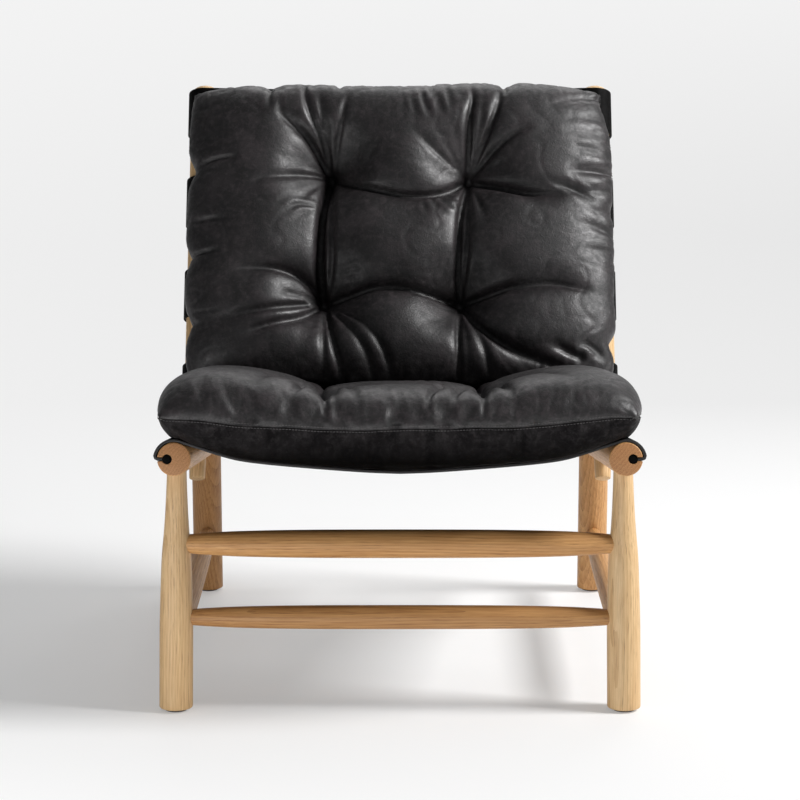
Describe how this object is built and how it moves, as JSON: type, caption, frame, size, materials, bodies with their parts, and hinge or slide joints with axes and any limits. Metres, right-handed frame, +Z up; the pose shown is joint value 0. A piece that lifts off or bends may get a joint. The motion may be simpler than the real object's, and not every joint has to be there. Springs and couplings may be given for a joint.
{
  "type": "leather sling lounge chair",
  "caption": "Low lounge chair: turned oak frame, leather seat sling on keyhole-slotted rails, leather back sling tied round raked posts, and loose tufted seat and back cushions.",
  "frame": {"origin": "on the floor, under the centre of the chair's bounding box", "axes": "+Z up; the chair faces -Y; +X is to the right of someone who stands in front of the chair and looks at it"},
  "size_m": [0.6612, 0.7742, 0.816],
  "materials": {
    "oak": "light natural oak, clear satin oil, visible straight grain",
    "cushion_leather": "black waxed nubuck-like leather, soft sheen, creased and mottled",
    "sling_leather": "thick black saddle leather, smooth, satin",
    "steel": "dull steel rod and rivets",
    "glide": "dark grey moulded plastic"
  },
  "bodies": {
    "root": {"front_leg_left": "oak", "front_leg_right": "oak", "rear_leg_left": "oak", "rear_leg_right": "oak", "seat_rail_left": "oak", "seat_rail_right": "oak", "back_post_left": "oak", "back_post_right": "oak", "front_stretcher_upper": "oak", "front_stretcher_lower": "oak", "rear_stretcher": "oak", "side_stretcher_left": "oak", "side_stretcher_right": "oak", "back_rail_lower": "oak", "back_rail_upper": "oak", "front_glide_left": "glide", "front_glide_right": "glide", "rear_glide_left": "glide", "rear_glide_right": "glide", "seat_sling": "sling_leather", "back_sling": "sling_leather", "sling_rod_left": "steel", "sling_rod_right": "steel", "back_rivet_left_1": "steel", "back_rivet_left_2": "steel", "back_rivet_left_3": "steel", "back_rivet_left_4": "steel", "back_rivet_left_5": "steel", "back_rivet_left_6": "steel", "back_rivet_left_7": "steel", "back_rivet_left_8": "steel", "back_rivet_right_1": "steel", "back_rivet_right_2": "steel", "back_rivet_right_3": "steel", "back_rivet_right_4": "steel", "back_rivet_right_5": "steel", "back_rivet_right_6": "steel", "back_rivet_right_7": "steel", "back_rivet_right_8": "steel", "seat_cushion": "cushion_leather", "back_cushion": "cushion_leather"}
  },
  "joints": []
}
